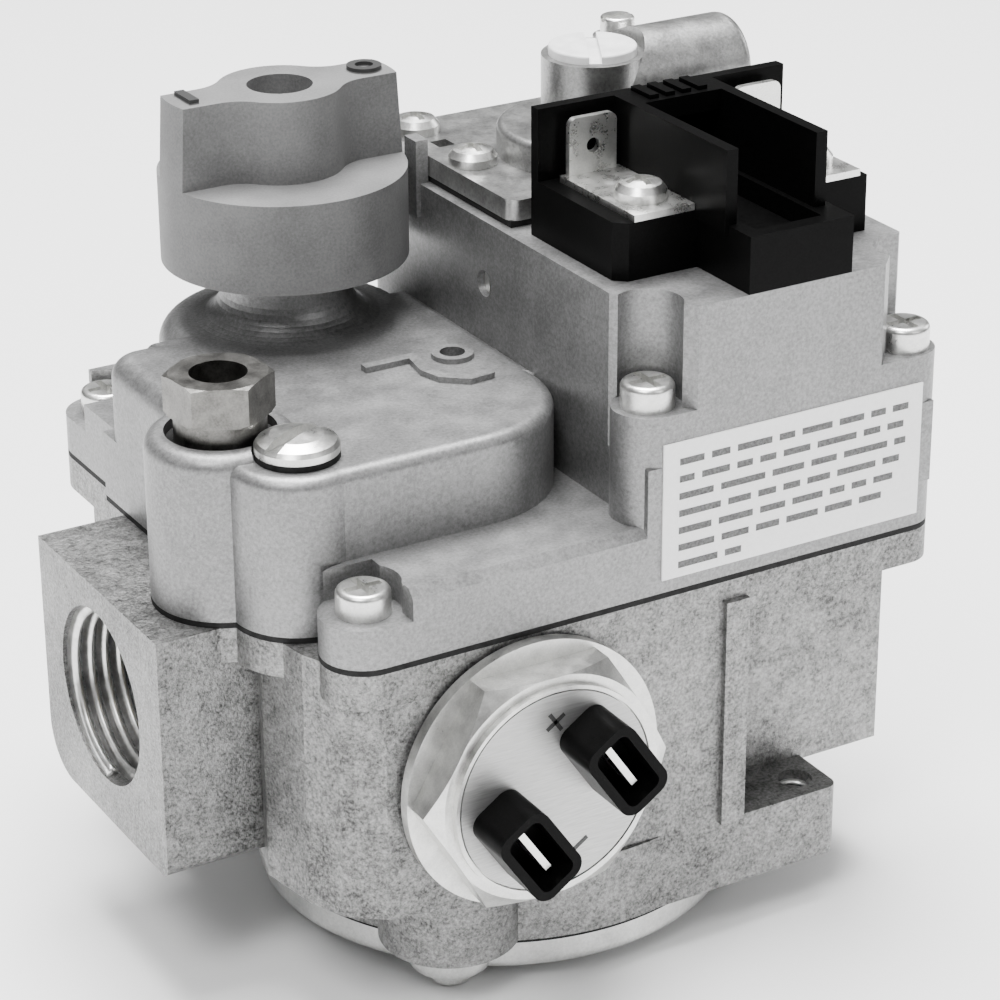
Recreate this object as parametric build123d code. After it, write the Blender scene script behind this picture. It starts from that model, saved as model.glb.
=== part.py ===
from build123d import *
import os
from math import atan2, cos, degrees, radians, sin

# Combination gas valve. Millimetres, +X from inlet to outlet, -Y to the front, +Z up.
# The origin is the centre of the inlet port's mouth, on the pipe axis.

PIPE_R = 10.7            # root radius of the tapped half-inch pipe ports
PORT_X0, PORT_X1 = 0.0, 90.7
FRONT = -35.5            # common front face of both castings
BACK = 39.6
BASE_Z = -26.6           # underside of the lower body
JOINT_Z0, JOINT_Z1 = 13.9, 14.6      # gasket between the castings
FLANGE_Z = 22.9
DOME_Z = 33.3
BOX_X0, BOX_X1, BOX_BACK, BOX_Z = 51.5, 90.6, 29.2, 48.2
SCREW_SEATS = [(18.4, -30.5, 19.3), (53.9, -31.35, 36.0), (88.6, -31.8, 36.0),
               (17.4, 34.6, 19.3), (53.9, 34.6, 22.9), (88.0, 34.6, 22.9)]
COCK = (35.7, 20.5)       # gas-cock and knob axis
KNOB_R, KNOB_Z = 14.85, 41.0
PILOT = (12.3, -9.3)     # pilot tube nut axis
TRIM = (17.1, -18.4)     # pilot flow adjuster axis
PLUG = (35.8, -2.4)      # hex plug axis, X and Z
MAIN = (48.6, -6.2)      # main valve and bottom cover axis
REG = (70.8, 7.6)        # pressure regulator axis
SOLENOID = (71.0, -15.0)
COVER_R, COVER_SCREW_R = 29.2, 27.7
TABS_X = (59.85, 82.45)
TAP = (79.2, 15.4)       # small plug beside the regulator
PLATE_SCREWS = [(56.0, 10.6), (86.8, 0.2), (86.8, 24.6), (56.0, 24.6)]


def block(x0, x1, y0, y1, z0, z1):
    return Pos((x0 + x1) / 2, (y0 + y1) / 2, (z0 + z1) / 2) * Box(x1 - x0, y1 - y0, z1 - z0)


def rod_z(x, y, r, z0, z1):
    return Pos(x, y, (z0 + z1) / 2) * Cylinder(r, z1 - z0)


def rod_x(y, z, r, x0, x1):
    return Pos((x0 + x1) / 2, y, z) * Rot(0, 90, 0) * Cylinder(r, x1 - x0)


def rod_y(x, z, r, y0, y1):
    return Pos(x, (y0 + y1) / 2, z) * Rot(90, 0, 0) * Cylinder(r, y1 - y0)


def ring_z(x, y, r0, r1, z0, z1):
    return rod_z(x, y, r1, z0, z1) - rod_z(x, y, r0, z0 - 1, z1 + 1)


def prism(points, z0, z1):
    return extrude(Pos(0, 0, z0) * make_face(Polyline(*points, close=True)), z1 - z0)


def hex_z(x, y, flats, z0, z1, turn):
    face = RegularPolygon(flats / 3 ** 0.5, 6, rotation=turn)
    return extrude(Pos(x, y, z0) * face, z1 - z0)


def turned(points, axis=Axis.Z):
    """Solid of revolution of a closed (radius, height) profile about the Z axis."""
    return revolve(make_face(Polyline(*[(r, 0, h) for r, h in points], close=True)), axis)


def coil_spring(radius, wire, z0, z1, turns):
    """Helical spring with its wire wholly between z0 and z1."""
    pitch = (z1 - z0 - 2 * wire) / turns
    path = Helix(pitch, z1 - z0 - 2 * wire, radius)
    return Pos(0, 0, z0 + wire) * sweep(Plane(path @ 0, z_dir=path % 0) * Circle(wire), path, is_frenet=True)


def upright(edges):
    return edges.filter_by(Axis.Z)


def casting_outline(z0, z1):
    """Outline shared by the lower body's lip, the gasket and the upper body's flange."""
    shape = block(11.0, BOX_X0 + 1, -17.4, 21.0, z0, z1) + block(17.0, BOX_X0 + 1, -25.2, 0.0, z0, z1)
    shape += rod_z(*COCK, 15.6, z0, z1)
    shape += rod_z(*PILOT, 8.6, z0, z1) + rod_z(17.4, -17.4, 8.0, z0, z1)
    shape += rod_z(18.4, -30.5, 5.0, z0, z1) + block(18.4, 88.6, FRONT, -24.0, z0, z1)
    shape += rod_z(88.6, -31.8, 3.7, z0, z1) + block(BOX_X0, 92.3, -31.8, 35.9, z0, z1)
    shape += rod_z(88.6, 35.9, 3.7, z0, z1) + block(17.4, 88.6, 20.0, BACK, z0, z1)
    shape += rod_z(17.4, 34.6, 5.0, z0, z1) + block(12.4, 30.0, 20.0, 34.6, z0, z1)
    return shape


def screw_tip(x, y):
    """Height of a casting screw's tip: the front screws have deep bosses, the others only the lip."""
    return 4.0 if y < 0 and x < 60 else 10.0


def screw_holes(r, z1):
    shape = rod_z(*SCREW_SEATS[0][:2], r, 4.0, z1)
    for x, y, _ in SCREW_SEATS[1:]:
        shape += rod_z(x, y, r, screw_tip(x, y), z1)
    return shape


def cover_screw_spots():
    return [(MAIN[0] + p.X, MAIN[1] + p.Y) for p in
            (Vector(COVER_SCREW_R, 0, 0).rotate(Axis.Z, a) for a in (49, 139, 229, 319))]


def lower_body():
    front_left = [(13.0, -14.0), (11.4, -19.0), (12.6, -26.8), (14.6, -31.4), (18.6, -34.6), (23.5, FRONT)]
    hull = prism(front_left + [(62.2, FRONT), (62.2, 33.0), (16.0, 33.0), (13.0, 30.0)], -17.5, JOINT_Z0)
    hull += block(60.0, PORT_X1, -27.3, 24.0, -18.0, 12.0)
    hull = fillet(hull.edges().filter_by(Axis.Y).group_by(Axis.Z)[0].sort_by(Axis.X)[-1], 3.0)
    rib = block(62.0, 65.2, FRONT - 0.7, -26.0, -17.6, 11.4)
    base = rod_z(*MAIN, 29.8, BASE_Z, -17.0)
    ledge = block(44.0, 79.4, FRONT, -6.0, BASE_Z, -17.5)
    ledge = fillet(upright(ledge.edges()).group_by(Axis.X)[-1], 1.5)
    foot = rod_z(30.4, -27.1, 8.3, BASE_Z, -12.0)
    inlet = block(0, 20, -16.6, 16.0, -16.0, JOINT_Z0)
    inlet = fillet(inlet.edges().filter_by(Axis.X).group_by(Axis.Z)[0].sort_by(Axis.Y)[-1], 6.0)
    inlet = fillet(inlet.edges().filter_by(Axis.X).group_by(Axis.Z)[0].sort_by(Axis.Y)[0], 1.6)
    outlet = block(80.0, PORT_X1, -27.3, 24.0, -18.0, 12.0)
    shape = hull + rib + base + ledge + foot + inlet + outlet + casting_outline(9.7, JOINT_Z0)
    for x, y in cover_screw_spots():
        shape += rod_z(x, y, 5.0, BASE_Z, -17.0)
    for x0, x1 in ((PORT_X0, 16.0), (PORT_X1 - 16.0, PORT_X1)):
        shape -= rod_x(0, 0, PIPE_R, x0, x1)
    shape -= rod_x(0, 0, 11.6, PORT_X1, 94.0)
    shape -= rod_x(0, 0, 7.5, 10.0, 27.0) + rod_x(0, 0, 8.0, 50.0, 80.0)
    shape -= rod_y(*PLUG, 11.2, -40.0, -17.0) + rod_y(*PLUG, 4.0, -17.5, COCK[1] + 1.5)
    shape -= rod_z(*MAIN, 7.0, -21.0, 4.0) + rod_z(*MAIN, 24.4, BASE_Z - 1, -19.0)
    shape -= rod_z(*COCK, 3.4, PLUG[1], 15.0) + rod_z(COCK[0] - 7.2, COCK[1], 3.0, 1.0, 15.0)
    shape -= Pos(24.4, 10.5, 1.0) * Rot(0, 0, 70) * Rot(0, 90, 0) * Cylinder(3.2, 21.0)
    shape -= rod_z(30.0, -24.0, 2.6, -20.0, -8.0) + rod_z(45.0, -18.0, 1.5, -2.0, 15.0)
    shape -= screw_holes(1.75, 15.0) + rod_z(75.7, -31.6, 2.1, BASE_Z - 1, -17.0)
    for x, y in cover_screw_spots():
        shape -= rod_z(x, y, 1.4, BASE_Z - 1, -18.0)
    return shape


def body_gasket():
    ring = casting_outline(JOINT_Z0, JOINT_Z1) - screw_holes(2.2, 16)
    return ring - rod_z(*COCK, 11.4, 13, 16) - rod_z(45.0, -18.0, 1.5, 13, 16)


def screw_notch(x, y, z0, corner):
    """Recess in a corner of the operator box that clears one casting screw."""
    return rod_z(x, y, 3.9, z0, BOX_Z + 1) + prism(corner, z0, BOX_Z + 1)


def upper_body():
    flange = casting_outline(JOINT_Z1, FLANGE_Z) - block(10.0, 21.8, FRONT - 1, -26.2, 19.3, FLANGE_Z + 1)
    flange -= block(10.0, 17.4, 29.6, BACK + 1, 19.3, FLANGE_Z + 1)
    flange -= Pos(35.0, FRONT, FLANGE_Z) * Rot(45, 0, 0) * Box(34.0, 1.5, 1.5)
    dome = block(17.0, 52.0, -11.2, 20.5, 20.0, DOME_Z) + block(17.0, 37.7, -25.2, 20.5, 20.0, DOME_Z)
    dome += rod_z(37.7, -11.2, 14.0, 20.0, DOME_Z) + rod_z(17.4, -17.4, 8.0, 20.0, DOME_Z)
    dome = fillet(dome.edges().group_by(Axis.Z)[-1], 1.4)
    shoulder = block(11.0, 30.0, -17.4, 20.5, 20.0, DOME_Z)
    shoulder = fillet(shoulder.edges().filter_by(Axis.Z).group_by(Axis.X)[0].sort_by(Axis.Y)[-1], 4.0)
    dome += fillet(shoulder.edges().filter_by(Axis.Y).group_by(Axis.Z)[-1].sort_by(Axis.X)[0], 2.6)
    dome += fillet(rod_z(*COCK, 15.6, 20.0, DOME_Z).edges().group_by(Axis.Z)[-1], 3.2)
    pilot_boss = rod_z(*PILOT, 8.6, 20.0, 34.3)
    pilot_boss = fillet(pilot_boss.edges().group_by(Axis.Z)[-1], 1.8)
    sweep_in = [(7.9 + 4.0 * (1 - sin(radians(a))), DOME_Z + 4.0 * (1 - cos(radians(a)))) for a in range(0, 91, 10)]
    neck = Pos(*COCK, 0) * turned([(0, 31.0), (11.9, 31.0)] + sweep_in + [(7.9, 40.4), (0, 40.4)])
    box = block(BOX_X0, BOX_X1, FRONT, BOX_BACK, 20.0, BOX_Z)
    box = fillet(upright(box.edges()).group_by(Axis.Y)[-1], 3.0)
    box -= screw_notch(*SCREW_SEATS[1][:2], 30.0, [(51.0, -26.4), (58.2, -36.0), (50.0, -36.0)])
    box -= screw_notch(*SCREW_SEATS[2][:2], 30.0, [(82.3, -36.0), (91.0, -27.2), (91.5, -36.0)])
    bosses = rod_z(53.9, -31.35, 4.15, 20.0, 36.0) + rod_z(88.6, -31.8, 3.7, 20.0, 36.0)
    bosses += block(53.9, 60.0, FRONT, -26.0, 20.0, 36.0) + block(81.0, 88.6, FRONT, -26.0, 20.0, 36.0)
    bosses += block(86.0, 92.3, -31.8, -27.0, 20.0, 36.0)
    shape = flange + dome + pilot_boss + neck + box + bosses
    shape += block(50.95, 52.6, 15.4, 18.2, 44.0, 53.6)
    for x, y, z in (SCREW_SEATS[0], SCREW_SEATS[3]):
        shape -= rod_z(x, y, 4.2, z, FLANGE_Z + 1)
    shape += index_mark()
    shape -= rod_z(*COCK, 11.4, JOINT_Z1 - 1, 30.5) + rod_z(*COCK, 4.1, 30.0, 46.0)
    shape -= rod_z(*COCK, 6.2, 37.6, 41.0)
    shape -= rod_z(*PILOT, 6.3, 32.6, 36.0) + rod_z(*TRIM, 5.0, DOME_Z, 36.0)
    shape -= rod_z(*PILOT, 4.8, 27.0, 36.0) + rod_z(*PILOT, 3.25, 23.5, 28.0) + rod_z(*PILOT, 0.8, 19.0, 24.0)
    shape -= rod_z(*TRIM, 3.1, 25.0, 35.0) + rod_z(*TRIM, 0.9, 19.0, 26.0)
    shape -= rod_z(45.0, -18.0, 1.5, JOINT_Z1 - 1, 19.8)
    shape -= Pos(31.0, -18.2, 19.0) * Rot(0, 90, 0) * Cylinder(0.9, 28.8)
    shape -= Pos(14.6, -13.6, 19.0) * Rot(0, 0, 61.6) * Rot(0, 90, 0) * Cylinder(0.9, 11.0)
    shape -= block(55.5, 86.6, -25.0, -6.0, 24.5, BOX_Z + 1) + rod_z(*REG, 10.6, 41.0, BOX_Z + 1)
    shape -= rod_z(*REG, 2.6, 36.0, 42.0) + rod_z(*SOLENOID, 1.0, 18.6, 25.0) + rod_x(-16.4, 19.0, 0.9, 44.5, 71.6)
    shape -= rod_x(0.3, 40.4, 1.6, 50.0, 55.0)
    shape -= screw_holes(2.2, 40.0)
    for x, y in PLATE_SCREWS:
        shape -= rod_z(x, y, 1.3, 42.0, BOX_Z + 1)
    shape -= rod_z(45.7, -2.2, 1.5, 31.8, 35.0)
    return shape


def index_mark():
    """Raised pointer cast on the dome beside the knob."""
    path = [(34.6, -1.0), (41.0, -1.0), (40.3, -5.4), (41.0, -8.0), (43.5, -10.1), (46.2, -9.9)]
    shape = rod_z(45.7, -2.2, 2.5, DOME_Z - 0.5, DOME_Z + 0.6)
    for start, end in zip(path, path[1:]):
        along = Vector(*end, 0) - Vector(*start, 0)
        middle = (Vector(*start, 0) + Vector(*end, 0)) / 2
        turn = Rot(0, 0, degrees(atan2(along.Y, along.X)))
        shape += Pos(middle.X, middle.Y, DOME_Z) * turn * Box(along.length, 1.3, 1.4)
        shape += rod_z(*end, 0.65, DOME_Z - 0.7, DOME_Z + 0.7)
    return shape


def body_screw(x, y, z):
    head = fillet(rod_z(x, y, 3.05, z, z + 3.0).edges().group_by(Axis.Z)[-1], 0.7)
    cross = block(x - 2.2, x + 2.2, y - 0.45, y + 0.45, z + 1.6, z + 4)
    cross += block(x - 0.45, x + 0.45, y - 2.2, y + 2.2, z + 1.6, z + 4)
    return head - cross + rod_z(x, y, 1.7, screw_tip(x, y) + 0.1, z)


def body_screws():
    return Compound([body_screw(*spot) for spot in SCREW_SEATS])


def knob():
    z = KNOB_Z
    bar = block(COCK[0] - 16.0, COCK[0] + 16.0, COCK[1] - 3.1, COCK[1] + 3.1, z + 5, z + 20.9)
    grip = bar + rod_z(*COCK, 7.4, z + 5, z + 20.9)
    grip = fillet([e for e in upright(grip.edges()) if abs(e.center().X - COCK[0]) < 9], 5.0)
    grip &= Pos(*COCK, 0) * turned([(0, z + 5), (KNOB_R, z + 5), (KNOB_R, z + 10.9), (KNOB_R - 0.6, z + 20.9), (0, z + 20.9)])
    shape = rod_z(*COCK, KNOB_R, z, z + 10.9) + grip
    shape += block(COCK[0] - 12.6, COCK[0] - 11.4, COCK[1] - 2.1, COCK[1] + 2.1, z + 20.5, z + 21.5)
    shape += ring_z(COCK[0] + 11.2, COCK[1], 1.1, 2.1, z + 20.5, z + 21.5)
    shape -= rod_z(*COCK, 3.9, z + 14.0, z + 22.0) + rod_z(*COCK, 12.6, z - 1, z + 3.0)
    return shape - (rod_z(*COCK, 3.55, z + 2.0, z + 13.0) - flat_side(0.05))


def flat_side(gap):
    """Flat that keys the knob to the stem."""
    return block(COCK[0] + 2.2 + gap, COCK[0] + 5, COCK[1] - 5, COCK[1] + 5, KNOB_Z + 1.5, KNOB_Z + 14)


def cock_stem():
    stem = rod_z(*COCK, 3.5, 40.4, KNOB_Z + 12.6) - flat_side(0)
    stem += rod_z(*COCK, 4.05, 18.2, 40.4) + rod_z(*COCK, 6.4, 20.0, 21.6)
    return stem + block(COCK[0] - 4.0, COCK[0] + 4.0, COCK[1] - 0.8, COCK[1] + 0.8, 16.7, 18.4)


def cock_disc():
    disc = rod_z(*COCK, 11.1, JOINT_Z0 + 0.05, 18.0)
    disc -= rod_z(*COCK, 3.2, 13, 16.0) + block(COCK[0], COCK[0] + 7.2, COCK[1] - 2.6, COCK[1] + 2.6, 13, 16.0)
    return disc - block(COCK[0] - 4.1, COCK[0] + 4.1, COCK[1] - 0.85, COCK[1] + 0.85, 16.5, 19)


def cock_spring():
    return Pos(*COCK, 0) * coil_spring(7.4, 0.55, 21.65, 30.45, 4)


def stem_seal():
    return ring_z(*COCK, 4.15, 6.15, 37.7, 39.7)


def pilot_nut():
    shape = hex_z(*PILOT, 10.7, 36.3, 41.0, -24.4)
    shape = shape & turned([(0, 30), (5.8, 30), (5.8, 36.4), (6.4, 36.8), (6.4, 40.7), (5.5, 41.0), (0, 41.0)]).moved(
        Location((PILOT[0], PILOT[1], 0)))
    shape += rod_z(*PILOT, 5.2, 33.3, 36.4) + rod_z(*PILOT, 4.7, 28.5, 33.3)
    return shape - rod_z(*PILOT, 3.25, 28.0, 42.0) - rod_z(*PILOT, 4.05, 28.0, 30.2)


def pilot_washer():
    return ring_z(*PILOT, 4.85, 6.15, 32.6, 33.25)


def pilot_sleeve():
    return ring_z(*PILOT, 3.25, 3.95, 27.2, 30.1)


def trim_cap():
    shape = turned([(0, 0), (4.75, 0), (4.75, 0.8), (4.4, 1.3), (3.0, 1.9), (0, 2.3)])
    shape = Pos(*TRIM, 34.05) * shape - Pos(*TRIM, 36.0) * Rot(0, 0, 24) * Box(12, 1.7, 2.1)
    return shape + rod_z(*TRIM, 3.0, 31.0, 34.05)


def trim_ring():
    return ring_z(*TRIM, 3.15, 4.75, DOME_Z, 34.0)


def trim_screw():
    shape = rod_z(*TRIM, 3.0, 27.6, 30.4) - Pos(*TRIM, 30.2) * Box(7, 0.8, 1.6)
    return shape + Pos(*TRIM, 0) * turned([(0, 25.4), (0.5, 25.4), (1.6, 27.6), (0, 27.6)])


def hex_plug():
    shape = Pos(PLUG[0], -37.3, PLUG[1]) * Rot(90, 0, 0) * extrude(RegularPolygon(15.7, 6), 3.9)
    corners = turned([(0, 0), (15.8, 0), (15.8, 2.6), (13.7, 3.9), (0, 3.9)])
    shape &= Pos(PLUG[0], -37.3, PLUG[1]) * Rot(90, 0, 0) * corners
    shape += rod_y(*PLUG, 16.2, -37.3, -35.9)
    shape += rod_y(*PLUG, 12.7, -42.0, -41.0) + rod_y(*PLUG, 10.9, -36.0, -27.0)
    return shape - rod_y(*PLUG, 9.2, -41.0, -26.0) - rod_y(*PLUG, 12.25, -43.0, -41.3)


def plug_washer():
    return rod_y(*PLUG, 13.0, -35.9, FRONT) - rod_y(*PLUG, 11.0, -37.0, -35.0)


def plug_frame(x, depth):
    """Place something at x along the two terminals' line, standing off the plug's face."""
    return Pos(PLUG[0], depth, PLUG[1]) * Rot(0, -34.0, 0) * Pos(x, 0, 0)


def plug_face():
    shape = rod_y(*PLUG, 12.05, -41.95, -41.3)
    for x in (-6.65, 6.65):
        shape -= plug_frame(x, -41.6) * Box(0.9, 3, 6.45)
    return shape


def shroud(x):
    outer = RectangleRounded(6.8, 10.8, 1.9)
    inner = RectangleRounded(4.6, 8.8, 1.0)
    solid = extrude(outer, 6.1) - Pos(0, 0, 1.0) * extrude(inner, 6.0) - Pos(0, 0, -1) * Box(0.95, 6.5, 9)
    return plug_frame(x, -41.95) * Rot(90, 0, 0) * solid


def shrouds():
    return Compound([shroud(-6.65), shroud(6.65)])


def plug_blades():
    return Compound([plug_frame(x, -43.9) * Box(0.8, 5.2, 6.35) for x in (-6.65, 6.65)])


def magnet_coil():
    return rod_y(*PLUG, 7.6, -37.2, -27.2) - rod_y(*PLUG, 4.1, -38.0, -26.0)


def magnet_core():
    shape = rod_y(*PLUG, 4.0, -38.4, -25.2) + rod_y(*PLUG, 8.9, -38.4, -37.2)
    return shape + (rod_y(*PLUG, 8.9, -37.2, -25.2) - rod_y(*PLUG, 7.7, -38.0, -25.0))


def magnet_armature():
    return rod_y(*PLUG, 7.5, -22.1, -20.9) + rod_y(*PLUG, 1.4, -20.9, -18.9)


def safety_disc():
    return rod_y(*PLUG, 8.8, -18.9, -17.1)


def magnet_spring():
    spring = coil_spring(8.2, 0.4, 0.0, 6.2, 3)
    return Pos(PLUG[0], -18.95, PLUG[1]) * Rot(90, 0, 0) * spring


def valve_seat():
    return ring_z(*MAIN, 5.6, 7.0, -19.6, -14.0)


def main_disc():
    shape = rod_z(*MAIN, 8.2, -21.4, -19.7) + rod_z(*MAIN, 1.8, -24.0, -21.4)
    return shape + rod_z(*MAIN, 13.0, -24.6, -23.6)


def diaphragm():
    web = turned([(0, -25.2), (12.6, -25.2), (21.5, -27.3), (COVER_R, -27.3), (COVER_R, -26.6),
                  (21.7, -26.6), (12.7, -24.65), (0, -24.65)])
    shape = Pos(*MAIN, 0) * web
    for x, y in cover_screw_spots():
        shape += rod_z(x, y, 5.0, -27.3, -26.6) - rod_z(*MAIN, 27.0, -28, -26)
    for x, y in cover_screw_spots():
        shape -= rod_z(x, y, 1.8, -28.0, -26.0)
    return shape


def main_spring():
    return Pos(*MAIN, 0) * coil_spring(6.0, 0.5, -30.35, -25.25, 2.5)


def bottom_cover():
    shape = fillet(rod_z(*MAIN, COVER_R, -31.0, -27.3).edges().group_by(Axis.Z)[0], 1.4)
    for x, y in cover_screw_spots():
        shape += fillet(rod_z(x, y, 5.0, -31.0, -27.3).edges().group_by(Axis.Z)[0], 1.4)
    shape += fillet(rod_z(*MAIN, 21.0, -32.4, -30.6).edges().group_by(Axis.Z)[0], 1.2)
    shape -= rod_z(*MAIN, 22.0, -29.4, -27.0) + rod_z(*MAIN, 19.0, -30.4, -29.0)
    for x, y in cover_screw_spots():
        shape -= rod_z(x, y, 1.8, -33.0, -27.0)
    return shape


def cover_screw(x, y):
    head = fillet(rod_z(x, y, 2.6, -32.9, -31.0).edges().group_by(Axis.Z)[0], 0.6)
    head -= block(x - 2.6, x + 2.6, y - 0.4, y + 0.4, -34.0, -32.1)
    return head + rod_z(x, y, 1.35, -31.0, -20.0)


def cover_screws():
    return Compound([cover_screw(*spot) for spot in cover_screw_spots()])


def inlet_screen():
    """Strainer cup behind the inlet thread."""
    cup = rod_x(0, 0, 7.4, 16.2, 24.6) - rod_x(0, 0, 6.8, 15.0, 24.0)
    for k in range(3):
        for turn in range(6):
            cup -= Pos(18.2 + 2.2 * k, 0, 0) * Rot(60 * turn + 30 * (k % 2), 0, 0) * Pos(0, 0, 7) * Cylinder(0.7, 3)
    return cup


def solenoid_frame():
    x, y = SOLENOID
    shape = block(x - 13.4, x + 13.4, y - 8.0, y + 8.0, 24.5, 26.3)
    shape += block(x - 13.4, x + 13.4, y - 8.0, y + 8.0, 44.6, 46.4)
    shape += block(x - 13.4, x - 11.8, y - 8.0, y + 8.0, 26.3, 44.6)
    return shape - rod_z(x, y, 3.4, 24.0, 27.0) - rod_z(x, y, 3.0, 44.0, 47.0)


def solenoid_bobbin():
    x, y = SOLENOID
    shape = ring_z(x, y, 3.4, 4.4, 26.3, 44.6)
    return shape + ring_z(x, y, 4.4, 8.4, 26.3, 27.5) + ring_z(x, y, 4.4, 8.4, 43.4, 44.6)


def solenoid_coil():
    return ring_z(*SOLENOID, 4.4, 8.0, 27.5, 43.4)


def solenoid_core():
    return rod_z(*SOLENOID, 3.35, 38.2, 44.6) + rod_z(*SOLENOID, 2.95, 44.6, 46.4)


def solenoid_plunger():
    shape = rod_z(*SOLENOID, 3.32, 26.2, 35.6) + rod_z(*SOLENOID, 2.2, 24.6, 26.2)
    return shape - rod_z(*SOLENOID, 2.2, 33.6, 36.0)


def solenoid_spring():
    return Pos(*SOLENOID, 0) * coil_spring(1.5, 0.3, 33.65, 38.15, 5)


def terminal_block():
    shape = block(53.8, 64.4, -25.2, -6.6, BOX_Z, 55.0) + block(78.0, 87.4, -25.2, -6.6, BOX_Z, 55.0)
    shape += block(64.3, 78.1, FRONT, -6.6, BOX_Z, 54.9) + block(53.8, 87.4, -8.1, -6.6, 54.0, 63.6)
    for x in (63.9, 75.8):
        shape += block(x, x + 1.5, -31.1, -7.5, 54.0, 63.6)
    corner = [(53.8, -23.9), (53.8, -26.0), (55.2, -26.0), (55.2, -25.2)]
    shape -= prism(corner, 48, 56) + block(66.2, 75.0, -33.6, -12.0, 52.4, 55.5)
    shape += block(56.3, 85.8, -24.2, -7.6, 47.2, BOX_Z)
    shape += block(65.0, 76.0, -12.3, -7.5, 61.2, 63.6)
    for k in range(4):
        shape += block(66.6 + 2.2 * k, 67.8 + 2.2 * k, -11.5, -7.4, 63.4, 64.1)
    for x in TABS_X:
        shape -= rod_z(x, -20.2, 1.55, 50.0, 56.0)
    return shape


def spade_tab(x):
    foot = block(x - 3.95, x + 3.95, -25.2, -9.4, 55.0, 55.8) - rod_z(x, -20.2, 1.75, 54.0, 57.0)
    blade = block(x - 3.15, x + 3.15, -10.2, -9.4, 55.4, 62.5) - rod_y(x, 59.0, 0.85, -12.0, -8.0)
    blade = fillet(blade.edges().filter_by(Axis.Y).group_by(Axis.Z)[-1], 1.0)
    return foot + blade


def spade_tabs():
    return Compound([spade_tab(x) for x in TABS_X])


def pan_screw(x, y, z, r, shank_r, depth):
    head = Pos(x, y, z) * turned([(0, 0), (r, 0), (r, r * 0.34), (r * 0.8, r * 0.6), (r * 0.4, r * 0.72), (0, r * 0.75)])
    head -= block(x - r * 0.6, x + r * 0.6, y - 0.4, y + 0.4, z + r * 0.42, z + r)
    head -= block(x - 0.4, x + 0.4, y - r * 0.6, y + r * 0.6, z + r * 0.42, z + r)
    return head + rod_z(x, y, shank_r, z - depth, z)


def terminal_screws():
    return Compound([pan_screw(x, -20.2, 55.8, 3.0, 1.5, 5.0) for x in TABS_X])


def plate_gasket():
    shape = block(52.9, 89.8, -3.6, 28.1, BOX_Z, 49.0) - rod_z(*REG, 9.4, 48, 50)
    for x, y in PLATE_SCREWS:
        shape -= rod_z(x, y, 1.7, 48.0, 50.0)
    return shape


def regulator_cover():
    plate = block(52.7, 90.0, -3.8, 28.3, 49.0, 51.5)
    plate = fillet(upright(plate.edges()), 1.5) - block(55.4, 57.6, 17.6, 20.0, 50.0, 52.0)
    disc = fillet(rod_z(*REG, 11.5, 51.0, 55.2).edges().group_by(Axis.Z)[-1], 0.9)
    vent = fillet(rod_x(REG[1], 59.7, 5.9, REG[0] + 2.0, 90.3).edges().group_by(Axis.X)[-1], 1.4)
    shape = plate + disc + rod_z(*REG, 6.15, 54.0, 63.5) + vent
    shape += rod_z(*TAP, 3.0, 51.0, 62.4) + block(TAP[0] - 3.0, TAP[0] + 3.0, REG[1], TAP[1], 51.0, 60.0)
    shape -= rod_z(*REG, 9.4, 48.0, 53.4) + rod_z(*REG, 4.6, 53.0, 64.0) + rod_z(*REG, 6.2, 63.5, 68.0)
    shape -= rod_x(REG[1], 59.7, 3.2, 74.0, 88.4) + rod_x(REG[1], 59.7, 4.2, 88.4, 91.0)
    shape -= rod_z(*TAP, 1.45, 56.0, 63.0)
    for x, y in PLATE_SCREWS:
        shape -= rod_z(x, y, 1.7, 48.0, 52.0)
    return shape


def plate_screws():
    return Compound([pan_screw(x, y, 51.5, 2.95, 1.25, 9.0) for x, y in PLATE_SCREWS])


def regulator_diaphragm():
    return Pos(*REG, 0) * turned([(0, 49.0), (5.0, 49.0), (8.4, 48.3), (9.35, 48.3), (9.35, 48.8),
                                  (8.5, 48.8), (5.1, 49.45), (0, 49.45)])


def regulator_valve():
    return rod_z(*REG, 3.6, 41.1, 42.1) + rod_z(*REG, 1.8, 42.1, 48.0) + rod_z(*REG, 4.8, 48.0, 48.95)


def spring_seat():
    return rod_z(*REG, 5.0, 49.5, 50.2) + rod_z(*REG, 2.3, 50.2, 51.2)


def regulator_spring():
    return Pos(*REG, 0) * coil_spring(3.2, 0.35, 50.25, 57.2, 6)


def regulator_screw():
    shape = rod_z(*REG, 4.5, 57.3, 60.0)
    return shape - Pos(*REG, 60.0) * Box(6.6, 1.0, 2.0)


def regulator_cap():
    shape = rod_z(*REG, 5.3, 63.5, 64.6) + rod_z(*REG, 4.5, 60.8, 63.5)
    shape = fillet(shape.edges().group_by(Axis.Z)[-1], 0.3)
    return shape - Pos(*REG, 64.5) * Rot(0, 0, 62) * Box(12, 1.5, 1.6)


def vent_insert():
    return rod_x(REG[1], 59.7, 4.15, 88.5, 89.9) - rod_x(REG[1], 59.7, 0.5, 88.0, 91.0)


def tap_plug():
    head = fillet(rod_z(*TAP, 2.1, 62.4, 64.9).edges().group_by(Axis.Z)[-1], 0.4)
    return head + rod_z(*TAP, 1.4, 56.4, 62.4) - Pos(*TAP, 65.0) * Box(5, 0.7, 1.4)


def side_screw():
    return rod_x(0.3, 40.4, 1.55, 52.4, 54.8) - Pos(52.4, 0.3, 40.4) * Box(1.2, 0.6, 4.0)


def label():
    return block(53.4, 88.8, FRONT - 0.2, FRONT, 16.2, 32.7)


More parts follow.
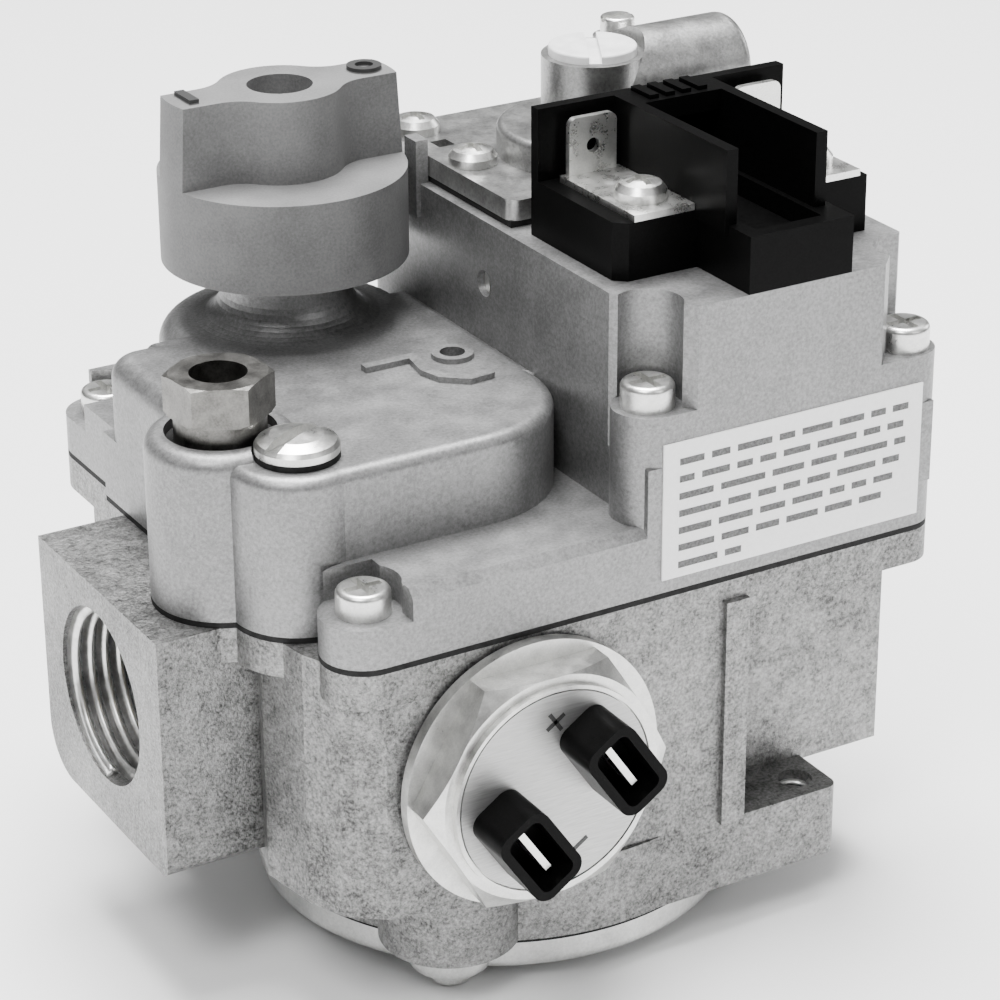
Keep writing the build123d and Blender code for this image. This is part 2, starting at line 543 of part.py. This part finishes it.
PARTS = [lower_body, body_gasket, upper_body, body_screws, knob, cock_stem, cock_disc, cock_spring,
         stem_seal, pilot_nut, pilot_washer, pilot_sleeve, trim_cap, trim_ring, trim_screw, hex_plug,
         plug_washer, plug_face, shrouds, plug_blades, magnet_coil, magnet_core, magnet_armature,
         safety_disc, magnet_spring, valve_seat, main_disc, diaphragm, main_spring, bottom_cover,
         cover_screws, inlet_screen, solenoid_frame, solenoid_bobbin, solenoid_coil, solenoid_core,
         solenoid_plunger, solenoid_spring, terminal_block, spade_tabs, terminal_screws, plate_gasket,
         regulator_cover, plate_screws, regulator_diaphragm, regulator_valve, spring_seat, regulator_spring,
         regulator_screw, regulator_cap, vent_insert, tap_plug, side_screw, label]

os.makedirs("parts", exist_ok=True)
for make in PARTS:
    export_step(make(), f"parts/{make.__name__}.step")
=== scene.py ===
import math
import random

import bpy
from mathutils import Euler, Matrix, Vector


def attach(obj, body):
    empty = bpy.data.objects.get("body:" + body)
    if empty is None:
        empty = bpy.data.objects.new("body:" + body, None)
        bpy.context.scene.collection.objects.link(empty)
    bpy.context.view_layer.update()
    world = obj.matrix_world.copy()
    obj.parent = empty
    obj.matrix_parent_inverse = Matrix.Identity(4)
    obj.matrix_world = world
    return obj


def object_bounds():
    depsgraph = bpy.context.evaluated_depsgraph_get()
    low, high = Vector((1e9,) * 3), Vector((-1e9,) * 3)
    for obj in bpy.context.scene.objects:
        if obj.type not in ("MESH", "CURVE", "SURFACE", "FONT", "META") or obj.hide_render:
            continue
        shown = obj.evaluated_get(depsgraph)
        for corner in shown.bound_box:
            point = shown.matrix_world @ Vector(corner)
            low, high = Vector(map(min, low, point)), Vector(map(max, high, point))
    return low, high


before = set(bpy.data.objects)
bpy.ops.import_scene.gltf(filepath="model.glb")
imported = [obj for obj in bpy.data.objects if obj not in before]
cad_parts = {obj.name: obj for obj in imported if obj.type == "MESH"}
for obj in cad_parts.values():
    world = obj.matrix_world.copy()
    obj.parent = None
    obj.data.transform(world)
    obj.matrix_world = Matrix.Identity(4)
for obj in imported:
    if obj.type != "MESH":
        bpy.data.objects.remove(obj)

cad_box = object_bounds()

# ---- Lower casting ----------------------------------------------------------------------------
# The lower casting holds the gas passages and both pipe ports. It is bare die-cast aluminium,
# so its skin is grainy, and mottled where the metal froze first against the die.


class Wire:
    """A shader socket that adds, multiplies and compares like a number."""

    def __init__(self, tree, socket=None):
        self.tree, self.socket = tree, socket

    def node(self, kind, feeds=None, out=0, stops=None, **settings):
        made = self.tree.nodes.new(kind)
        for name, value in settings.items():
            setattr(made, name, value)
        if stops:
            made.color_ramp.elements.remove(made.color_ramp.elements[1])
            for number, (place, tone) in enumerate(stops):
                stop = made.color_ramp.elements[0] if number == 0 else made.color_ramp.elements.new(place)
                stop.position = place
                stop.color = (*tone, 1.0) if isinstance(tone, tuple) else (tone, tone, tone, 1.0)
        for name, value in (feeds or {}).items():
            if isinstance(value, Wire):
                self.tree.links.new(value.socket, made.inputs[name])
            else:
                made.inputs[name].default_value = value
        return Wire(self.tree, made.outputs[out])

    def maths(self, operation, first, second=0.0):
        return self.node("ShaderNodeMath", {0: first, 1: second}, operation=operation)

    def __add__(self, other):
        return self.maths("ADD", self, other)

    def __sub__(self, other):
        return self.maths("SUBTRACT", self, other)

    def __mul__(self, other):
        return self.maths("MULTIPLY", self, other)

    def __gt__(self, other):
        return self.maths("GREATER_THAN", self, other)

    def __lt__(self, other):
        return self.maths("LESS_THAN", self, other)

    def __rsub__(self, other):
        return self.maths("SUBTRACT", other, self)

    __radd__ = __add__
    __rmul__ = __mul__


class Finish:
    """A material, with its piece's own coordinates in millimetres."""

    def __init__(self, name, **fixed):
        self.made = bpy.data.materials.new(name)
        self.made.use_nodes = True
        self.tree = self.made.node_tree
        self.shader = self.tree.nodes["Principled BSDF"]
        for socket, value in fixed.items():
            self.shader.inputs[socket.replace("_", " ")].default_value = value
        place = Wire(self.tree).node("ShaderNodeTexCoord", out="Object")
        self.at = place.node("ShaderNodeVectorMath", {0: place, "Scale": 1000.0}, operation="SCALE")

    def noise(self, per_mm, detail=2.0, roughness=0.55, at=None):
        return self.at.node("ShaderNodeTexNoise", {"Vector": at or self.at, "Scale": per_mm,
                                                   "Detail": detail, "Roughness": roughness})

    def ramp(self, value, *stops):
        return value.node("ShaderNodeValToRGB", {"Fac": value}, stops=stops)

    def bump(self, height, depth_mm, strength=0.6):
        return height.node("ShaderNodeBump", {"Height": height, "Distance": depth_mm / 1000.0,
                                              "Strength": strength})

    def feed(self, **links):
        for socket, wire in links.items():
            self.tree.links.new(wire.socket, self.shader.inputs[socket.replace("_", " ")])
        return self.made


def cast_metal(name, dark, light, blotch_mm, rough, depth_mm, metal=0.85, pits=0.0, speckle=0.3):
    """Die-cast metal: broad stains, blotches a few millimetres wide, a fine grain and dark pits."""
    skin = Finish(name, Metallic=metal)
    stain, blotch = skin.noise(0.05, 3.0), skin.noise(1.0 / blotch_mm, 5.0, 0.68)
    grain, pore = skin.noise(2.4, 3.0, 0.75), skin.noise(1.3, 2.0, 0.5)
    tone = stain * 0.2 + blotch * (0.8 - speckle) + grain * speckle
    middle = tuple((a + b) / 2 for a, b in zip(dark, light))
    skin_tone = skin.ramp(tone, (0.38, dark), (0.50, middle), (0.62, light))
    pit = (0.33 - pore > 0.0) * pits
    colour = skin.at.node("ShaderNodeMix", {0: pit, 6: skin_tone, 7: (0.08, 0.08, 0.08, 1.0)}, out=2,
                          data_type="RGBA")
    bump = skin.bump(grain * 0.5 + blotch * 0.5, depth_mm, 0.8)
    return skin.feed(Base_Color=colour, Roughness=rough + 0.3 * (blotch - 0.5), Normal=bump)


def dress(material, *names):
    """Gives the finish to whole nodes."""
    for name in names:
        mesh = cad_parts[name].data
        mesh.materials.clear()
        mesh.materials.append(material)


bare_casting = cast_metal("bare_casting", dark=(0.045, 0.045, 0.044), light=(0.34, 0.34, 0.335), blotch_mm=2.0,
                          rough=0.42, depth_mm=0.26, metal=0.9, pits=0.6, speckle=0.48)
dress(bare_casting, "lower_body")

# ---- Port threads -------------------------------------------------------------------------------
# Both ports are tapped for half-inch pipe, fourteen turns to the inch. Each thread is one ridge
# that winds along the bright, freshly cut bore, with its crest a little flattened.


def settle(piece, name, body, material=None):
    """Bakes a piece's place into its mesh, names it and lets it ride."""
    bpy.ops.object.select_all(action="DESELECT")
    piece.select_set(True)
    bpy.context.view_layer.objects.active = piece
    bpy.ops.object.transform_apply(location=True, rotation=True, scale=True)
    piece.name = piece.data.name = name
    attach(piece, body)
    if material:
        piece.data.materials.clear()
        piece.data.materials.append(material)
    return piece


def thread(name, radius, depth, pitch, turns, start, axis):
    """Winds a ridge inside a bore of that radius, from start along an axis, X or Z."""
    bpy.ops.object.select_all(action="DESELECT")
    bpy.ops.mesh.primitive_circle_add(vertices=4, radius=0.001, fill_type="NOTHING")
    ridge = bpy.context.object
    half, crest, inner = pitch * 0.46, pitch * 0.07, radius - depth
    profile = [(radius + 0.00005, -half), (inner, -crest), (inner, crest), (radius + 0.00005, half)]
    for vertex, (out, along) in zip(ridge.data.vertices, profile):
        vertex.co = (out, 0.0, along)
    wind = ridge.modifiers.new("wind", "SCREW")
    wind.screw_offset, wind.iterations, wind.axis = pitch, turns, "Z"
    wind.steps = wind.render_steps = 72
    bpy.ops.object.modifier_apply(modifier="wind")
    bpy.ops.object.mode_set(mode="EDIT")
    bpy.ops.mesh.select_all(action="SELECT")
    bpy.ops.mesh.remove_doubles(threshold=1e-7)
    bpy.ops.mesh.select_all(action="DESELECT")
    bpy.ops.mesh.select_mode(type="EDGE")
    bpy.ops.mesh.select_non_manifold(extend=False)
    bpy.ops.mesh.edge_face_add()
    bpy.ops.mesh.select_all(action="SELECT")
    bpy.ops.mesh.normals_make_consistent(inside=False)
    bpy.ops.object.mode_set(mode="OBJECT")
    turn = Matrix.Rotation(math.pi / 2, 4, "Y") if axis == "X" else Matrix.Identity(4)
    ridge.matrix_world = Matrix.Translation(start) @ turn
    settle(ridge, name, "body")
    return ridge


cut = Finish("cut_thread", Metallic=0.95)
tool_marks = cut.noise(0.8, 3.0)
cut_metal = cut.feed(
    Base_Color=cut.ramp(tool_marks, (0.3, (0.50, 0.50, 0.49)), (0.7, (0.80, 0.80, 0.79))),
    Roughness=0.24 + 0.2 * tool_marks,
    Normal=cut.bump(cut.noise(3.0, 2.0), 0.03, 0.4))
port_radius, port_depth, port_pitch, turns_cut = 0.0107, 0.00115, 0.001814, 8
for name, start in (("inlet_thread", (0.0009, 0, 0)), ("outlet_thread", (0.0751, 0, 0))):
    ridge = thread(name, port_radius, port_depth, port_pitch, turns_cut, start, "X")
    ridge.data.materials.append(cut_metal)
hole_radius, hole_depth, hole_pitch = 0.0021, 0.00042, 0.0009
ridge = thread("bracket_thread", hole_radius, hole_depth, hole_pitch, turns_cut, (0.0757, -0.0316, -0.0256), "Z")
ridge.data.materials.append(cut_metal)

# ---- Gasket and upper casting -------------------------------------------------------------------
# The upper casting is shot-blasted after casting, so its skin is finer and more even than the
# lower one's. A thin black rubber gasket seals the joint and shows as a dark line all round.
satin_casting = cast_metal("satin_casting", dark=(0.17, 0.17, 0.17), light=(0.30, 0.30, 0.30), blotch_mm=5.0,
                           rough=0.46, depth_mm=0.06, pits=0.2, speckle=0.6)
dress(satin_casting, "upper_body")
rubber = Finish("black_rubber", Specular_IOR_Level=0.2)
dust = rubber.noise(0.9, 4.0)
black_rubber = rubber.feed(Base_Color=rubber.ramp(dust, (0.35, 0.004), (0.75, 0.018)),
                           Roughness=0.62 + 0.2 * dust, Normal=rubber.bump(dust, 0.04, 0.5))
dress(black_rubber, "body_gasket", "plate_gasket", "stem_seal", "pilot_washer", "trim_ring", "plug_washer",
      "safety_disc", "diaphragm", "regulator_diaphragm")

# ---- Steel fasteners ----------------------------------------------------------------------------
# Screws, plugs and their fittings are turned or headed from steel and plated with zinc. The
# plating is bright, with faint handling marks and a slightly cloudy tone.


def plated_metal(name, dark, light, rough, depth_mm):
    plate = Finish(name, Metallic=1.0)
    cloud, scuff = plate.noise(0.5, 3.0), plate.noise(4.0, 4.0, 0.7)
    return plate.feed(Base_Color=plate.ramp(cloud * 0.6 + scuff * 0.4, (0.34, dark), (0.66, light)),
                      Roughness=rough + 0.25 * (cloud - 0.5) + 0.12 * scuff,
                      Normal=plate.bump(scuff, depth_mm, 0.5))


zinc = plated_metal("zinc_plate", (0.56, 0.56, 0.55), (0.84, 0.84, 0.82), 0.26, 0.02)
dress(zinc, "body_screws", "cover_screws", "plate_screws", "terminal_screws", "side_screw", "tap_plug",
      "trim_cap", "solenoid_frame", "solenoid_core", "solenoid_plunger", "magnet_core", "magnet_armature",
      "spring_seat")
wire_steel = plated_metal("spring_wire", (0.30, 0.30, 0.31), (0.62, 0.62, 0.63), 0.30, 0.01)
dress(wire_steel, "cock_spring", "magnet_spring", "main_spring", "solenoid_spring", "regulator_spring")

# ---- Knob and gas cock --------------------------------------------------------------------------
# The knob is moulded in grey plastic with a fine spark-eroded skin. The two marks on its grip,
# a bar and a ring, are raised and have black tops. It turns a brass stem with a flat.
moulding = Finish("grey_moulding", Roughness=0.55)
speck = moulding.noise(3.2, 2.0, 0.7)
height = moulding.at.node("ShaderNodeSeparateXYZ", {0: moulding.at}, out="Z")
mark_level_mm = 62.05
inked = height > mark_level_mm
body_tone = moulding.ramp(speck * 0.5 + moulding.noise(0.12, 2.0) * 0.5, (0.35, 0.085), (0.65, 0.16))
ink_tone = moulding.ramp(speck, (0.0, 0.010), (1.0, 0.022))
grey_plastic = moulding.feed(
    Base_Color=height.node("ShaderNodeMix", {0: inked, 6: body_tone, 7: ink_tone}, out=2, data_type="RGBA"),
    Roughness=0.50 + 0.12 * speck, Normal=moulding.bump(speck, 0.05, 0.5))
dress(grey_plastic, "knob", "vent_insert")
brass = plated_metal("plain_brass", (0.50, 0.44, 0.30), (0.76, 0.68, 0.48), 0.28, 0.02)
dress(brass, "cock_stem", "cock_disc", "pilot_sleeve", "trim_screw", "valve_seat", "regulator_valve",
      "regulator_screw", "inlet_screen")

# ---- Pilot fitting ------------------------------------------------------------------------------
# The tube nut is drawn hexagon bar with turned ends, dulled by handling. It screws down onto a
# brass sleeve that grips the pilot tube.
nut_metal = plated_metal("nut_metal", (0.09, 0.088, 0.083), (0.22, 0.216, 0.205), 0.30, 0.03)
dress(nut_metal, "pilot_nut")

# ---- Magnet plug --------------------------------------------------------------------------------
# A large plated hexagon closes the front and carries the safety magnet. Its face is a plain
# pressed disc with two shrouded blades, and printed polarity marks beside them.
hexagon = plated_metal("plug_plate", (0.50, 0.50, 0.49), (0.72, 0.72, 0.70), 0.28, 0.02)
dress(hexagon, "hex_plug")
disc = Finish("face_disc", Metallic=0.9)
hair = disc.noise(1.0, 3.0, 0.6, disc.at.node("ShaderNodeMapping", {
    "Vector": disc.at, "Rotation": (0, math.radians(-34), 0), "Scale": (0.35, 1.0, 5.0)}))
face_metal = disc.feed(Base_Color=disc.ramp(hair, (0.3, (0.34, 0.34, 0.335)), (0.7, (0.48, 0.48, 0.475))),
                       Roughness=0.30 + 0.2 * hair, Normal=disc.bump(hair, 0.015, 0.4))
dress(face_metal, "plug_face")
moulded = Finish("black_moulding", Specular_IOR_Level=0.045)
ripple, fleck = moulded.noise(0.25, 2.0), moulded.noise(3.5, 3.0)
black_plastic = moulded.feed(Base_Color=moulded.ramp(fleck, (0.3, 0.001), (0.8, 0.003)),
                             Roughness=0.26 + 0.16 * fleck,
                             Normal=moulded.bump(ripple * 0.7 + fleck * 0.3, 0.06, 0.4))
dress(black_plastic, "shrouds", "terminal_block", "solenoid_bobbin")
tin = plated_metal("tin_plate", (0.68, 0.68, 0.66), (0.88, 0.88, 0.86), 0.24, 0.01)
dress(tin, "plug_blades", "spade_tabs")

# ---- Windings -----------------------------------------------------------------------------------
# The operator and the safety magnet are wound with enamelled copper wire in close layers.
# The lacquer leaves the wire glossy and brown.
winding = Finish("enamelled_wire", Metallic=0.6, Roughness=0.35)
turns = winding.at.node("ShaderNodeTexWave", {"Vector": winding.at, "Scale": 1.1, "Distortion": 0.2},
                        out="Fac", bands_direction="Z")
copper = winding.feed(Base_Color=winding.ramp(turns, (0.1, (0.14, 0.05, 0.02)), (0.8, (0.50, 0.22, 0.09))),
                      Normal=winding.bump(turns, 0.12, 0.8))
dress(copper, "solenoid_coil", "magnet_coil")

# ---- Main diaphragm valve -----------------------------------------------------------------------
# The pressed aluminium dish holds the diaphragm's rim, and the valve disc hangs on its centre.
dish_metal = cast_metal("dish_metal", dark=(0.52, 0.52, 0.51), light=(0.80, 0.80, 0.79), blotch_mm=7.0,
                        rough=0.34, depth_mm=0.03, metal=0.95)
dress(dish_metal, "bottom_cover", "main_disc")

# ---- Pressure regulator -------------------------------------------------------------------------
# The regulator's housing is a finer casting. Its slotted cap is pale plastic.
fine_casting = cast_metal("fine_casting", dark=(0.20, 0.20, 0.198), light=(0.42, 0.42, 0.415), blotch_mm=4.0,
                          rough=0.36, depth_mm=0.08, metal=0.9, pits=0.2, speckle=0.4)
dress(fine_casting, "regulator_cover")
pale = Finish("pale_moulding", Roughness=0.4)
cloud = pale.noise(0.4, 3.0)
pale_plastic = pale.feed(Base_Color=pale.ramp(cloud, (0.3, 0.62), (0.7, 0.78)),
                         Roughness=0.36 + 0.15 * cloud, Normal=pale.bump(pale.noise(3.0), 0.03, 0.3))
dress(pale_plastic, "regulator_cap")

# ---- Label --------------------------------------------------------------------------------------
# A white paper label is stuck flat on the front of the upper casting. Plain grey dashes
# of ink stand for its seven lines of print.
paper = Finish("label_paper", Roughness=0.6)
fibre = paper.noise(1.6, 4.0)
label_paper = paper.feed(Base_Color=paper.ramp(fibre, (0.3, 0.91), (0.7, 0.97)),
                         Roughness=0.5 + 0.1 * fibre, Normal=paper.bump(fibre, 0.01, 0.3))
dress(label_paper, "label")


def strip(place, size, turn=0.0):
    """Adds one thin printed stroke: its middle, its size, and its turn about Y in degrees."""
    bpy.ops.mesh.primitive_cube_add(size=1.0, location=place, rotation=(0, math.radians(turn), 0))
    bpy.context.object.scale = size
    return bpy.context.object


def join(strokes, name, body, material):
    """Makes one piece of several strokes."""
    bpy.ops.object.select_all(action="DESELECT")
    for stroke in strokes:
        stroke.select_set(True)
    bpy.context.view_layer.objects.active = strokes[0]
    bpy.ops.object.transform_apply(location=True, rotation=True, scale=True)
    bpy.ops.object.join()
    return settle(strokes[0], name, body, material)


ink = Finish("grey_ink", Roughness=0.7)
fade = ink.noise(3.0, 2.0)
grey_ink = ink.feed(Base_Color=ink.ramp(fade, (0.3, 0.06), (0.7, 0.16)), Normal=ink.bump(fade, 0.01, 0.3))
words = random.Random(7)
line_starts, top_line, line_step, gap = 0.0555, 0.0303, 0.0021, 0.0010
line_ends = (0.0868, 0.0862, 0.0866, 0.0858, 0.0868, 0.0846, 0.0640)
dashes = []
for line, right in enumerate(line_ends):
    left, level = line_starts, top_line - line_step * line
    while left < right - 0.0015:
        width = min(words.uniform(0.0018, 0.0062), right - left)
        dashes.append(strip((left + width / 2, -0.03571, level), (width, 0.00004, 0.0008)))
        left += width + gap
join(dashes, "label_dashes", "body", grey_ink)

# ---- Polarity marks -----------------------------------------------------------------------------
# A plus and a minus are printed in black on the plug's face, one beside each shrouded blade.
black = Finish("black_ink", Roughness=0.5)
wear = black.noise(4.0, 3.0)
black_ink = black.feed(Base_Color=black.ramp(wear, (0.3, 0.005), (0.8, 0.04)), Normal=black.bump(wear, 0.01, 0.3))
face, tilt_deg, thick, bar = -0.04197, -34, 0.00006, 0.0005
plus = [strip((0.0357, face, 0.0062), (0.0027, thick, bar), tilt_deg),
        strip((0.0357, face, 0.0062), (bar, thick, 0.0027), tilt_deg)]
join(plus, "plus_mark", "body", black_ink)
minus = strip((0.0388, face, -0.0101), (0.0025, thick, bar), tilt_deg)
join([minus], "minus_mark", "body", black_ink)

# ---- Floor, light and camera --------------------------------------------------------------------
# The valve stands on a plain pale floor. One large soft light hangs above it, with three
# weaker ones at the left, front and right.
bpy.ops.mesh.primitive_plane_add(size=2.6, location=(0, 0, cad_box[0][2] - 0.0002))
floor = bpy.context.object
floor.name = "floor"
ground = bpy.data.materials.new("pale_floor")
ground.use_nodes = True
ground.node_tree.nodes["Principled BSDF"].inputs["Base Color"].default_value = (0.86, 0.86, 0.86, 1)
ground.node_tree.nodes["Principled BSDF"].inputs["Roughness"].default_value = 0.9
floor.data.materials.append(ground)
world = bpy.data.worlds.new("studio")
world.use_nodes = True
sky = Wire(world.node_tree)
up = sky.node("ShaderNodeSeparateXYZ", {0: sky.node("ShaderNodeTexCoord", out="Generated")}, out="Z")
glow = sky.node("ShaderNodeValToRGB", {"Fac": up}, stops=((0.0, 0.05), (0.25, 0.10), (0.9, 0.95)))
world.node_tree.links.new(glow.socket, world.node_tree.nodes["Background"].inputs["Color"])
bpy.context.scene.world = world
lamps = (("key", (-0.45, -0.40, 0.85), 0.35, 8.0), ("front", (0.35, -0.80, 0.50), 0.30, 1.2),
         ("top", (0.10, 0.15, 0.95), 0.55, 34.0), ("right", (0.80, 0.05, 0.30), 0.30, 1.5))
for name, place, size, power in lamps:
    lamp = bpy.data.lights.new(name, "AREA")
    lamp.size, lamp.energy = size, power
    holder = bpy.data.objects.new(name, lamp)
    bpy.context.scene.collection.objects.link(holder)
    holder.location = place
    holder.rotation_euler = (Vector(place) - Vector((0.045, 0, 0.02))).to_track_quat("Z", "Y").to_euler()
eye = bpy.data.cameras.new("eye")
eye.sensor_width, eye.lens, eye.shift_x, eye.shift_y = 36.0, 116.9, -0.007, -0.017
eye.clip_start, eye.clip_end = 0.01, 20.0
camera = bpy.data.objects.new("eye", eye)
bpy.context.scene.collection.objects.link(camera)
camera.location = (-0.1266, -0.3081, 0.1764)
tilt = Euler((math.radians(90 - 24.42), 0, math.radians(-30.42))).to_matrix()
camera.rotation_euler = (tilt @ Matrix.Rotation(math.radians(-0.25), 3, "Z")).to_euler()
bpy.context.scene.camera = camera
